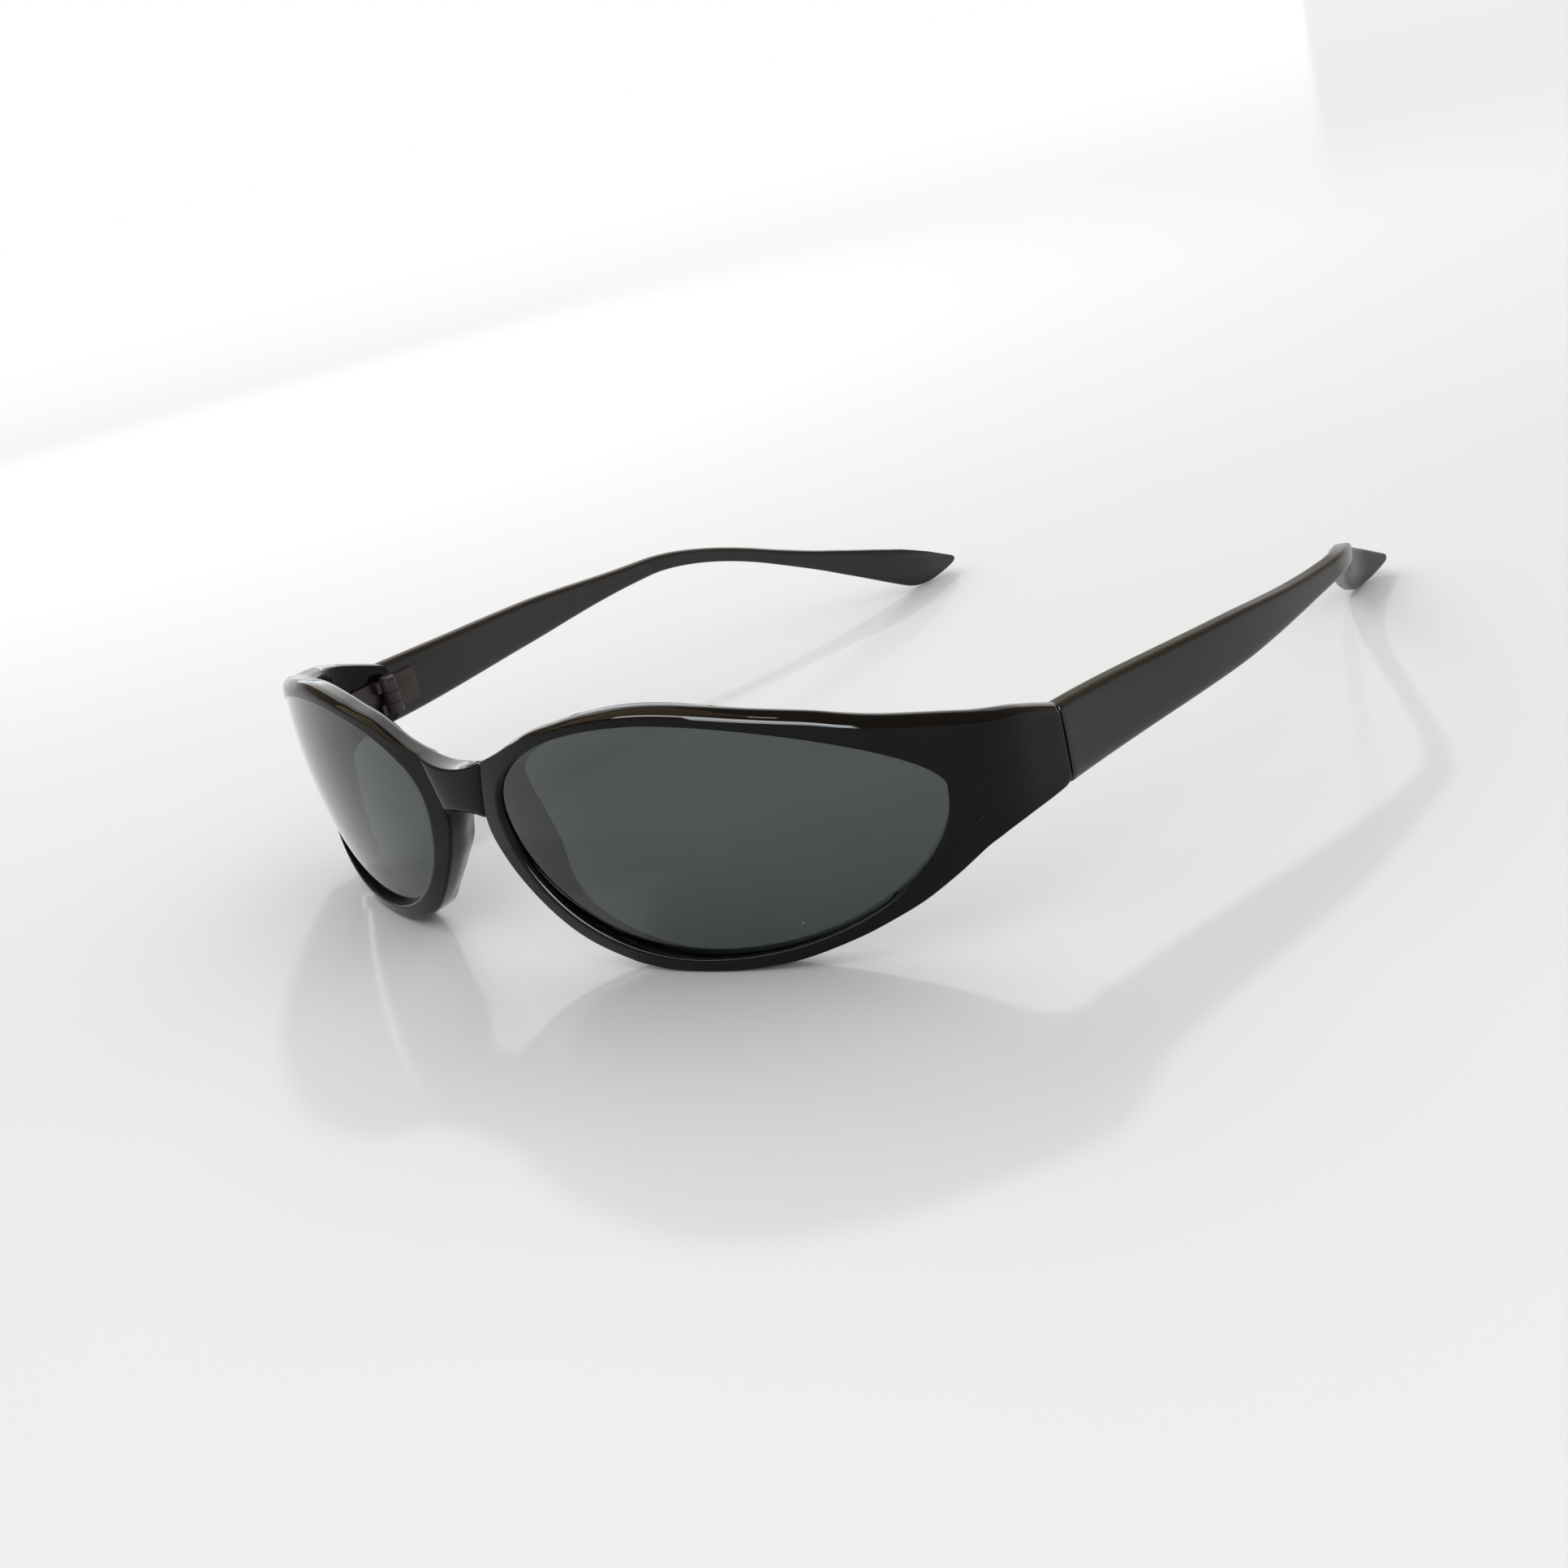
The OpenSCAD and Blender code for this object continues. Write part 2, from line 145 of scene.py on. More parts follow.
# Front
# a pair of lists is a curve over the length round the face, or over the height where its name ends in Z
# a From is where something begins, and the Band of the same name is how long it takes to be whole
front = dict(
    # the ball that the face lies on, the flat side and how softly one turns into the other
    ballX=13.69, ballY=33.83, ballZ=21.69, ballR=70.42, sideX=67.8, turn=3.2,
    # the opening's middle, its four reaches and the fullness of its four quarters
    openX=32.52, openZ=20.85, openOut=30.63, openUp=11.87, openIn=24.62, openDown=18.85,
    full=(1.641, 2.061, 1.927, 2.096),
    # from the face to the back
    thick=([0, 45, 71.2], [4.2, 4.2, 3.77]),
    # the brow's bevel: how far it rises, how deep it is, how far the brow runs back and how it falls
    browRise=([-8, -4, 3, 18, 38, 45, 60, 71.2], [0.0, 0.15, 0.55, 0.75, 0.95, 1.05, 1.1, 0.95]),
    browDepth=([-8, -4, 3, 18, 45, 60, 71.2], [0.5, 0.6, 0.8, 0.95, 1.15, 1.3, 1.2]),
    browReach=([-8, 4, 22, 71.2], [2.5, 2.8, 3.2, 3.6]),
    browFall=([-8, 15, 24, 34, 71.2], [0.06, 0.1, 0.2, 0.33, 0.33]),
    # how far the back's edge steps in, at the brow and at the rest of the rim, and the rim's own bevel
    browStep=1.3, rimStep=0.6, rimStepNose=0.2, rimDepth=0.5, rimLift=0.25, rimBehind=0.02,
    # the flange beside the nose: where it starts, how it splays and how high its crest stands behind
    noseFrom=24, noseBand=10, splayZ=([2, 6, 12, 16, 20.2], [0.3, 1.1, 1.9, 2.5, 2.0]),
    noseTurn=0.12, noseShare=0.45, crestFrom=23, crestBand=11, crestInside=0.4,
    crestZ=([3, 7, 11, 15, 19, 24, 28], [0, 0.2, 1.3, 2.8, 3.0, 1.7, 0.3]),
    # the bridge's end, from its lower to its upper edge, and how the back's edge steps in and drops there
    bridgeLow=20.2, bridgeTall=7.6, bridgeReach=(4.6, 2.3), bridgeSplay=(2.0, 0.1),
    bridgeFrom=4, bridgeBand=10, bridgeStep=0.8, bridgeStepTop=0.5, bridgeSet=0.8, bridgeDrop=0.7,
    dropFrom=22, dropBand=5,
    # the bridge itself: its dome, the sag of its top, the arch below and the depth that the dome covers
    dome=0.75, sagTop=1.15, archLow=0.7, domeDepth=2.3,
    # the wall of the opening and the lens seat
    backInside=-0.4, wallInset=([-6, 0, 12, 45, 52], [-0.3, 0.2, 1, 0.6, 0]),
    wallShare=0.45, wallMore=0.35, wallBand=10, lensLean=0.028, lensLeanZ=21, seatBehind=0.85,
    lensDepth=([-6, 5, 18, 35, 52], [0.65, 0.65, 0.6, 0.45, 0.25]),
    # roundings of the section's corners
    creaseRound=([-8, -6, -2.5, 0, 14, 50, 58, 71.2], [0.12, 1.2, 0.9, 0.15, 0.6, 0.75, 1.2, 1.2]),
    browRound=([-8, 42, 54, 71.2], [0.5, 0.5, 1.2, 1.2]), rimRound=0.4, seamRound=0.2, bridgeRound=0.05,
    edgeRound=0.4, edgeRoundNose=0.5, edgeFrom=30, edgeBand=12, bevelRound=0.05, bevelRoundNose=1.6,
    backRound=0.5, backRoundNose=1.3, stepRound=0.6, stepRoundNose=0.5, insideRound=0.5, seatRound=0.1,
    # stations along each part of the rim, and across the bridge
    topCount=140, lowCount=170, creaseCount=13, seamCount=16, bridgeCount=41)
# outer edge of the face as x and z, and where it turns back to the seam as length round the face and z
browLine = [(6.2, 27.85), (9.7, 29.1), (13, 30.45), (16.5, 31.7), (20.3, 32.6), (24, 33.4), (28.5, 34.0),
            (32.4, 34.2), (36, 34.05), (40, 33.55), (44, 32.85), (49.5, 31.75), (52.5, 31.04), (55.4, 30.14),
            (58.4, 29.3), (60.7, 28.75)]
browTurn = [(54.9, 28.2), (58.8, 27.45), (63.4, 26.45), (66.8, 25.25), (71.27, 23.5)]
lowTurn = [(71.27, 15.9), (71.0, 15.25), (70.2, 14.8), (67.8, 14.6), (65.0, 14.45), (63.1, 14.15),
           (61.4, 13.75), (59.8, 13.15), (58.2, 12.4), (56.0, 10.95)]
lowLine = [(61.74, 9.56), (58.36, 7.11), (54.73, 5.18), (51.03, 3.52), (45.4, 1.6), (41, 0.65), (35, 0.06),
           (28, 0.08), (24.4, 0.6), (20.7, 1.55), (15.2, 4.0), (11, 7.4), (7.1, 12.1), (4.95, 15.9),
           (4.15, 18.2), (4.0, 20.2)]
creaseLine = [(4.0, 20.2), (5.05, 24.1), (6.2, 27.85)]
# points in the rounding of each of the section's corners, and between it and the next one
cornerCounts = [(5, 14), (5, 3), (5, 6), (5, 2), (4, 10), (5, 3), (3, 3)]


def ballReach(z):
    return np.sqrt(front["ballR"] ** 2 - (np.asarray(z, float) - front["ballZ"]) ** 2)


def faceReach(angle, z):
    # the nearer of the ball and the flat side, eased where they meet
    leastSine = 1e-3
    side = (front["sideX"] - front["ballX"]) / np.maximum(np.sin(angle), leastSine)
    ball = ballReach(z)
    near = np.maximum(front["turn"] - np.abs(side - ball), 0) / front["turn"]
    return np.minimum(side, ball) - near * near * front["turn"] / 4


def onFace(a, z, w):
    # a is the length round the face from its frontmost line, w the depth behind the face
    t = np.asarray(a) / front["ballR"]
    r = faceReach(t, z) - w
    return np.stack([front["ballX"] + r * np.sin(t), -r * np.cos(t) + front["ballY"], z + 0 * r], axis=-1)


def ballPoint(x, z):
    return math.asin((x - front["ballX"]) / float(ballReach(z))) * front["ballR"], z


def openingEdge(angle):
    # each quarter is a superellipse of its own
    c, s = np.cos(angle), np.sin(angle)
    quarter = np.floor(np.mod(angle, 2 * np.pi) / (np.pi / 2)).astype(int) % 4
    n = np.choose(quarter, front["full"])
    wide = np.where(c > 0, front["openOut"], front["openIn"])
    high = np.where(s > 0, front["openUp"], front["openDown"])
    r = (np.abs(c / wide) ** n + np.abs(s / high) ** n) ** (-1 / n)
    x, z = front["openX"] + r * c, front["openZ"] + r * s
    return np.arcsin((x - front["ballX"]) / ballReach(z)) * front["ballR"], z


def corner(before, p, after, radius, count):
    # quadratic round of one corner, for every station at once, within a share of either side
    mostOfSide = 0.45
    toBefore = np.linalg.norm(before - p, axis=1)
    toAfter = np.linalg.norm(after - p, axis=1)
    r = np.minimum(radius, mostOfSide * np.minimum(toBefore, toAfter))[:, None]
    start = p + (before - p) / toBefore[:, None] * r
    end = p + (after - p) / toAfter[:, None] * r
    t = np.linspace(0, 1, count)[:, None, None]
    return (1 - t) ** 2 * start + 2 * t * (1 - t) * p + t ** 2 * end


def ringSection(controls, radii, counts):
    # closed section with rounded corners: controls are (stations, 3) arrays
    n = len(controls)
    rounds = [corner(controls[i - 1], controls[i], controls[(i + 1) % n], radii[i], counts[i][0])
              for i in range(n)]
    out = []
    for i in range(n):
        out.append(rounds[i])
        gap = counts[i][1]
        a, b = rounds[i][-1], rounds[(i + 1) % n][0]
        t = (np.arange(1, gap + 1) / (gap + 1))[:, None, None]
        out.append(a * (1 - t) + b * t)
    return np.concatenate(out).transpose(1, 0, 2)


def frontOutline():
    # stations round the rim as length and height, and the part that each one belongs to
    top = smoothLine([ballPoint(*p) for p in browLine] + browTurn, front["topCount"])
    low = smoothLine(lowTurn + [ballPoint(*p) for p in lowLine], front["lowCount"])
    crease = smoothLine([ballPoint(*p) for p in creaseLine], front["creaseCount"])
    seam = np.linspace(top[-1], low[0], front["seamCount"])
    pieces = [top, seam[1:-1], low, crease[1:-1]]
    part = np.repeat(["top", "seam", "low", "bridge"], [len(p) for p in pieces])
    return np.vstack(pieces), part


def frontRings(outline, part):
    # sections round the rim, as length round the face, height and depth behind the face
    isTop, isSeam, isBridge = part == "top", part == "seam", part == "bridge"
    total = len(outline)
    aOut, zOut = outline[:, 0], outline[:, 1]
    aMid, zMid = ballPoint(front["openX"], front["openZ"])
    aEdge, zEdge = openingEdge(np.arctan2(zOut - zMid, aOut - aMid))
    xOut = onFace(aOut, zOut, 0 * aOut)[:, 0]
    xEdge = onFace(aEdge, zEdge, 0 * aEdge)[:, 0]
    inward = np.stack([aEdge - aOut, zEdge - zOut], axis=1)
    inward /= np.linalg.norm(inward, axis=1)[:, None]

    def curve(key, where):
        return between(where, *front[key])

    def fade(name, distance):
        # 0 to 1 over the band that starts at the named place
        return smoothStep(distance / front[name + "Band"])

    def at(shift, depth, lift=0, fromEdge=False):
        # every station moved towards the opening by shift
        base = np.stack([aEdge, zEdge], axis=1) if fromEdge else outline
        p = base + inward * np.broadcast_to(shift, total)[:, None]
        return np.stack([p[:, 0], p[:, 1] + lift, np.broadcast_to(depth, total)], axis=1)

    back = curve("thick", aOut)
    # the flange's crest runs from the lower rim up behind the bridge and fades out along the brow
    crest = fade("crest", front["crestFrom"] - xEdge) * curve("crestZ", zEdge)
    nose = fade("nose", front["noseFrom"] - xOut) * (~isTop)
    splay = nose * curve("splayZ", zOut)
    rise = np.where(isTop, curve("browRise", aOut), 0.0)
    depth = np.where(isTop, curve("browDepth", aOut), front["rimDepth"])
    reach = np.where(isTop, curve("browReach", aOut), back + crest * (~isSeam))
    lift = np.where(isTop, rise - curve("browFall", aOut) * (reach - depth),
                    front["rimLift"] * (1 - nose) * ~(isSeam | isBridge))
    # up the bridge's end the flange turns into the brow
    up = smoothStep((zOut - front["bridgeLow"]) / front["bridgeTall"])

    def onBridge(values, others):
        return np.where(isBridge, values[0] * (1 - up) + values[1] * up, others)

    reach = onBridge(front["bridgeReach"], reach)
    splay = onBridge(front["bridgeSplay"], splay)
    nose = onBridge((1, 0), nose)
    # beside the nose the bevel widens to a round flange, and is whole halfway there
    flare = smoothStep(nose * 2)
    nearBridge = fade("bridge", front["bridgeFrom"] - aOut)
    high = isTop | isBridge
    step = np.where(isTop, front["browStep"], front["bridgeStep"] + front["bridgeStepTop"] * (1 - nose))
    step = np.where(high, step + splay + front["bridgeSet"] * nearBridge * (1 - nose * isBridge),
                    front["rimStep"] + front["rimStepNose"] * nose + splay)
    drop = front["bridgeDrop"] * fade("drop", zOut - front["dropFrom"]) * nearBridge * high
    inset = curve("wallInset", aEdge) * (
        front["wallShare"] + front["wallMore"] * np.clip((zMid - zEdge) / front["wallBand"], 0, 1))
    seat = curve("lensDepth", aEdge) + front["lensLean"] * (front["lensLeanZ"] - zEdge) + front["seatBehind"]
    # round the section: the opening's edge, the outer edge and its bevel, the back, the wall, the lens seat
    controls = [
        at(0, 0, fromEdge=True),
        at(0, 0),
        at(front["noseTurn"] * splay, depth + flare * (front["noseShare"] * reach - depth), rise),
        at(splay, reach, lift),
        at(step, back + crest + front["rimBehind"] * (~high), -drop),
        at(front["backInside"], back + front["crestInside"] * crest, fromEdge=True),
        at(-inset, seat, fromEdge=True)]
    edgeNose = fade("edge", front["edgeFrom"] - xOut) * (~isTop)
    rounds = [curve("creaseRound", aOut), front["seamRound"], front["bridgeRound"]]
    creaseRound = np.select([isTop, isSeam, isBridge], rounds, front["rimRound"])
    bevelRound = front["bevelRound"] + front["bevelRoundNose"] * flare
    radii = [
        front["edgeRound"] + front["edgeRoundNose"] * edgeNose,
        creaseRound,
        np.where(isTop, curve("browRound", aOut), bevelRound),
        front["backRound"] + front["backRoundNose"] * nose,
        front["stepRound"] + front["stepRoundNose"] * nose,
        front["insideRound"],
        front["seatRound"]]
    return ringSection(controls, radii, cornerCounts)


def roundMiddle(index):
    # place in the section of the middle of one corner's rounding
    return sum(a + b for a, b in cornerCounts[:index]) + cornerCounts[index][0] // 2


def bridgeLoft(loop, faceCount):
    # carries the loop where the left rim meets the bridge over to the right rim
    zTop, zLow = loop[:, 2].max(), loop[:faceCount, 2].min()
    share = np.clip((loop[:, 2] - zLow) / (zTop - zLow), 0, 1)
    frontShare = np.clip(1 - (loop[:, 1] - loop[:faceCount, 1].mean()) / front["domeDepth"], 0, 1)
    layers = []
    for v in np.sin(np.linspace(-0.5, 0.5, front["bridgeCount"]) * math.pi):
        p = loop.copy()
        p[:, 0] *= v
        p[:, 1] -= front["dome"] * math.sqrt(1 - v * v) * frontShare
        sag = -front["sagTop"] * share * (1 - v * v)
        p[:, 2] += sag + front["archLow"] * (1 - share) * (1 - abs(v) ** 3)
        layers.append(p)
    n = len(loop)
    faces = []
    for a in range(len(layers) - 1):
        for b in range(n):
            c = (b + 1) % n
            faces.append((a * n + b, a * n + c, (a + 1) * n + c, (a + 1) * n + b))
    return np.concatenate(layers), faces


def buildFront():
    outline, part = frontOutline()
    rings = frontRings(outline, part)
    total, around = rings.shape[:2]
    xyz = onFace(rings[..., 0], rings[..., 1], rings[..., 2])
    isBridge = part == "bridge"
    # the bridge joins the rim between the middles of the crease's and the back's rounding
    openFrom, openTo = roundMiddle(1), roundMiddle(3)
    rimFaces = []
    for i in range(total):
        j = (i + 1) % total
        bridging = isBridge[i] or isBridge[j]
        for k in range(around):
            if bridging and openFrom <= k < openTo:
                continue
            n = (k + 1) % around
            rimFaces.append((i * around + k, j * around + k, j * around + n, i * around + n))
    first = int(np.flatnonzero(part == "low")[-1])
    span = list(range(first, total)) + [0]
    loop = [(i, openFrom) for i in span]
    loop += [(0, k) for k in range(openFrom + 1, openTo + 1)]
    loop += [(i, openTo) for i in reversed(span[:-1])]
    loop += [(first, k) for k in range(openTo - 1, openFrom, -1)]
    bridgePoints, bridgeFaces = bridgeLoft(np.array([xyz[i, k] for i, k in loop]), len(span))
    leftHalf = xyz.reshape(-1, 3)
    count = len(leftHalf)
    points = np.concatenate([leftHalf, leftHalf * [-1, 1, 1], bridgePoints])
    points[:, 2] = np.maximum(points[:, 2], 0.0)
    faces = rimFaces + [tuple(q + count for q in f[::-1]) for f in rimFaces]
    faces += [tuple(q + 2 * count for q in f) for f in bridgeFaces]
    return makeMesh("front", place(points), faces)


# Lenses
lens = dict(ballX=13.89, ballY=34.78, ballZ=23.69, ballR=70.74, thick=1.6, inFrame=0.8,
            rings=40, around=240, sharp=40)


def buildLens(name, side):
    rings, around = lens["rings"], lens["around"]
    aEdge, zEdge = openingEdge(np.linspace(0, 2 * np.pi, around, endpoint=False))
    edge = onFace(aEdge, zEdge, 0 * aEdge)
    cx, cz = front["openX"], front["openZ"]
    ex, ez = edge[:, 0] - cx, edge[:, 2] - cz
    length = np.hypot(ex, ez)
    grow = (length + lens["inFrame"]) / length

    def onBall(x, z, depth):
        r = lens["ballR"] - depth
        y = lens["ballY"] - np.sqrt(r * r - (x - lens["ballX"]) ** 2 - (z - lens["ballZ"]) ** 2)
        return np.stack([x, y, z], axis=-1)

    # rings from the middle outwards on both faces, then the two middles
    shares = np.linspace(0, 1, rings + 1)[1:]
    depths = (0, lens["thick"])
    points = [onBall(cx + ex * grow * t, cz + ez * grow * t, depth) for depth in depths for t in shares]
    points = np.concatenate(points + [onBall(cx, cz, depth)[None] for depth in depths])
    size = rings * around
    last = size - around
    faces = []
    for i in range(around):
        j = (i + 1) % around
        for middle, base in ((2 * size, 0), (2 * size + 1, size)):
            for row in range(base, base + last, around):
                faces.append((row + i, row + j, row + around + j, row + around + i))
            faces.append((middle, base + i, base + j))
        faces.append((last + i, last + j, size + last + j, size + last + i))
    points[:, 0] *= side
    return makeMesh(name, place(points), faces, sharp=lens["sharp"])


# Temples
# the line seen from above and the middle line follow a rule, the height follows a curve
temple = dict(
    sideX=67.8, bow=2.6, bowLength=85.0, sweep=21.8, sweepFrom=62.0, sweepTo=112.0,
    midZ=19.3, bendAt=73.2, bendLength=20.0, slope=0.4468, toeY=108.0,
    cutFrom=102.0, cutRise=2.7, cutBlend=2.6, seamGap=0.4, tipY=119.0, tipRound=1.3,
    rootThick=3.2, endThick=2.3, squareness=5.0,
    # the small rounding of the end at the seam: its length, and how much its edge shrinks
    endRound=0.18, endShrink=0.045,
    # height at places along the temple, and the length and height that fill the curve
    heights=[(0, 9.7), (7, 9.3), (19, 8.3), (29, 7.4), (36, 6.7), (43.5, 5.5), (51, 4.25), (59, 3.25),
             (67, 2.75), (80, 2.5), (88, 3.1), (96, 4.8), (104, 6.8), (108, 7.5), (119, 7.5)],
    curveLength=120.0, curveHeight=12.0,
    # rings along it and points round it, how the rings crowd together towards the tip, the angle in degrees
    # from which an edge stays sharp, and how near points are joined in metres
    rings=330, around=72, crowd=0.55, crowdPower=2.2, sharp=50, weld=4e-6)
templeInputs = {
    "Side X": "sideX", "Bow": "bow", "Bow Length": "bowLength",
    "Sweep": "sweep", "Sweep From": "sweepFrom", "Sweep To": "sweepTo",
    "Middle Z": "midZ", "Bend At": "bendAt", "Bend Length": "bendLength", "Slope": "slope", "Toe Y": "toeY",
    "Cut From": "cutFrom", "Cut Rise": "cutRise", "Cut Blend": "cutBlend",
    "Seam Gap": "seamGap", "Tip Y": "tipY", "Tip Round": "tipRound",
    "Root Thickness": "rootThick", "End Thickness": "endThick", "Squareness": "squareness",
    "End Round": "endRound", "End Shrink": "endShrink"}


def geometryGroup(name, inputs):
    tree = bpy.data.node_groups.new(name, "GeometryNodeTree")
    tree.is_modifier = True
    sockets = {}
    for label, kind in inputs:
        sockets[label] = tree.interface.new_socket(name=label, in_out="INPUT", socket_type=kind)
    tree.interface.new_socket(name="Geometry", in_out="OUTPUT", socket_type="NodeSocketGeometry")
    source = tree.nodes.new("NodeGroupInput")
    sink = tree.nodes.new("NodeGroupOutput")
    return tree, sockets, source, sink


def heightCurve(tree, y):
    # the temple's height at y
    node = tree.nodes.new("ShaderNodeFloatCurve")
    curve = node.mapping.curves[0]
    places = [(at / temple["curveLength"], high / temple["curveHeight"]) for at, high in temple["heights"]]
    for at, high in places[1:-1]:
        curve.points.new(at, high)
    curve.points[0].location = (0.0, places[0][1])
    curve.points[len(places) - 1].location = (1.0, places[-1][1])
    node.mapping.update()
    tree.links.new(mathNode(tree, "DIVIDE", y, temple["curveLength"]), node.inputs["Value"])
    return node.outputs[0]


def templeTree():
    labels = [(name, "NodeSocketFloat") for name in [*templeInputs, "Seam Plane"]]
    labels += [("Rings", "NodeSocketInt"), ("Round", "NodeSocketInt"), ("Finish", "NodeSocketMaterial")]
    tree, sockets, source, sink = geometryGroup("templeSweep", labels)
    value = source.outputs
    new = tree.nodes.new

    def calc(operation, *values):
        return mathNode(tree, operation, *values)

    grid = new("GeometryNodeMeshGrid")
    grid.inputs["Size X"].default_value = 1
    grid.inputs["Size Y"].default_value = 1
    tree.links.new(value["Rings"], grid.inputs["Vertices X"])
    tree.links.new(value["Round"], grid.inputs["Vertices Y"])
    where = new("ShaderNodeSeparateXYZ")
    tree.links.new(new("GeometryNodeInputPosition").outputs[0], where.inputs[0])
    last = calc("SUBTRACT", value["Rings"], 1.0)
    ring = calc("ROUND", calc("MULTIPLY", calc("ADD", where.outputs[0], 0.5), last))
    # ring 0 closes the end at the seam, ring 1 is its edge, ring 2 lies past the small rounding
    pastEdge = calc("MINIMUM", calc("MAXIMUM", calc("SUBTRACT", ring, 1.0), 0.0), 1.0)
    first = calc("MULTIPLY", pastEdge, value["End Round"])
    share = calc("DIVIDE", calc("MAXIMUM", calc("SUBTRACT", ring, 2.0), 0.0), calc("SUBTRACT", last, 2.0))
    span = calc("SUBTRACT", calc("SUBTRACT", value["Tip Y"], value["Seam Gap"]), value["End Round"])
    crowded = calc("MULTIPLY", calc("POWER", share, temple["crowdPower"]), temple["crowd"])
    along = calc("SUBTRACT", calc("MULTIPLY", share, 1 + temple["crowd"]), crowded)
    y = calc("ADD", calc("ADD", value["Seam Gap"], first), calc("MULTIPLY", along, span))

    def outerLine(y):
        bowed = calc("DIVIDE", calc("MINIMUM", y, value["Bow Length"]), value["Bow Length"])
        wave = calc("SINE", calc("MULTIPLY", bowed, math.pi))
        bow = calc("MULTIPLY", value["Bow"], calc("MULTIPLY", wave, wave))
        sweep = calc("MULTIPLY", value["Sweep"], rampNode(tree, y, value["Sweep From"], value["Sweep To"]))
        return calc("SUBTRACT", calc("ADD", value["Side X"], bow), sweep)

    outer = outerLine(y)
    # the lean of that line, over a tenth of a millimetre
    lean = calc("DIVIDE", calc("SUBTRACT", outerLine(calc("ADD", y, 0.1)), outer), 0.1)
    length = calc("SQRT", calc("ADD", calc("MULTIPLY", lean, lean), 1.0))
    # middle line, straight and then bent down
    past = calc("ADD", calc("SUBTRACT", y, value["Bend At"]), calc("DIVIDE", value["Bend Length"], 2.0))
    bend = calc("MINIMUM", calc("MAXIMUM", past, 0.0), value["Bend Length"])
    bent = calc("DIVIDE", calc("MULTIPLY", bend, bend), calc("MULTIPLY", value["Bend Length"], 2.0))
    drop = calc("ADD", bent, calc("MAXIMUM", calc("SUBTRACT", past, value["Bend Length"]), 0.0))
    middle = calc("SUBTRACT", value["Middle Z"], calc("MULTIPLY", value["Slope"], drop))
    half = calc("MULTIPLY", heightCurve(tree, y), temple["curveHeight"] / 2)
    top = calc("ADD", middle, half)
    # the underside of the tip curves up to meet the top
    part = calc("DIVIDE", calc("MAXIMUM", calc("SUBTRACT", y, value["Cut From"]), 0.0),
                calc("SUBTRACT", value["Tip Y"], value["Cut From"]))
    level = calc("SQRT", calc("MAXIMUM", calc("SUBTRACT", 1.0, calc("MULTIPLY", part, part)), 0.0))
    cut = calc("MULTIPLY", calc("SUBTRACT", 1.0, level), value["Cut Rise"])
    low = calc("SMOOTH_MAX", calc("SUBTRACT", middle, half), cut, value["Cut Blend"])
    middle = calc("DIVIDE", calc("ADD", top, low), 2.0)
    half = calc("DIVIDE", calc("SUBTRACT", top, low), 2.0)
    thinner = calc("MULTIPLY", calc("SUBTRACT", value["End Thickness"], value["Root Thickness"]),
                   rampNode(tree, y, 0.0, value["Toe Y"]))
    thick = calc("DIVIDE", calc("ADD", value["Root Thickness"], thinner), 2.0)
    # both ends close: a flat end at the seam and a round tip
    pastRound = calc("SUBTRACT", y, calc("SUBTRACT", value["Tip Y"], value["Tip Round"]))
    tip = calc("MAXIMUM", calc("DIVIDE", pastRound, value["Tip Round"]), 0.0)
    shrink = calc("SQRT", calc("MAXIMUM", calc("SUBTRACT", 1.0, calc("MULTIPLY", tip, tip)), 0.0))
    edge = calc("SUBTRACT", 1.0, calc("MULTIPLY", calc("COMPARE", ring, 1.0, 0.1), value["End Shrink"]))
    shrink = calc("MULTIPLY", calc("MULTIPLY", shrink, edge), calc("MINIMUM", ring, 1.0))
    # squared-off round section
    turn = calc("MULTIPLY", calc("ADD", where.outputs[1], 0.5), 2 * math.pi)
    c, s = calc("COSINE", turn), calc("SINE", turn)
    powers = calc("ADD", calc("POWER", calc("ABSOLUTE", c), value["Squareness"]),
                  calc("POWER", calc("ABSOLUTE", s), value["Squareness"]))
    reach = calc("MULTIPLY", calc("POWER", powers, calc("DIVIDE", -1.0, value["Squareness"])), shrink)
    depth = calc("MULTIPLY", thick, calc("SUBTRACT", 1.0, calc("MULTIPLY", reach, c)))
    x = calc("SUBTRACT", outer, calc("DIVIDE", depth, length))
    y = calc("ADD", y, calc("DIVIDE", calc("MULTIPLY", depth, lean), length))
    z = calc("MAXIMUM", calc("ADD", middle, calc("MULTIPLY", half, calc("MULTIPLY", reach, s))), 0.0)
    joined = new("ShaderNodeCombineXYZ")
    tree.links.new(calc("MULTIPLY", x, millimetre), joined.inputs[0])
    tree.links.new(calc("ADD", calc("MULTIPLY", y, millimetre), value["Seam Plane"]), joined.inputs[1])
    tree.links.new(calc("MULTIPLY", z, millimetre), joined.inputs[2])
    moved = new("GeometryNodeSetPosition")
    tree.links.new(grid.outputs["Mesh"], moved.inputs["Geometry"])
    tree.links.new(joined.outputs[0], moved.inputs["Position"])
    merge = new("GeometryNodeMergeByDistance")
    merge.inputs["Distance"].default_value = temple["weld"]
    tree.links.new(moved.outputs[0], merge.inputs["Geometry"])
    smooth = new("GeometryNodeSetShadeSmooth")
    tree.links.new(merge.outputs[0], smooth.inputs["Geometry"])
    real = new("GeometryNodeRealizeInstances")
    tree.links.new(smooth.outputs[0], real.inputs[0])
    paint = new("GeometryNodeSetMaterial")
    tree.links.new(real.outputs[0], paint.inputs["Geometry"])
    tree.links.new(value["Finish"], paint.inputs["Material"])
    tree.links.new(paint.outputs[0], sink.inputs[0])
    return tree, sockets


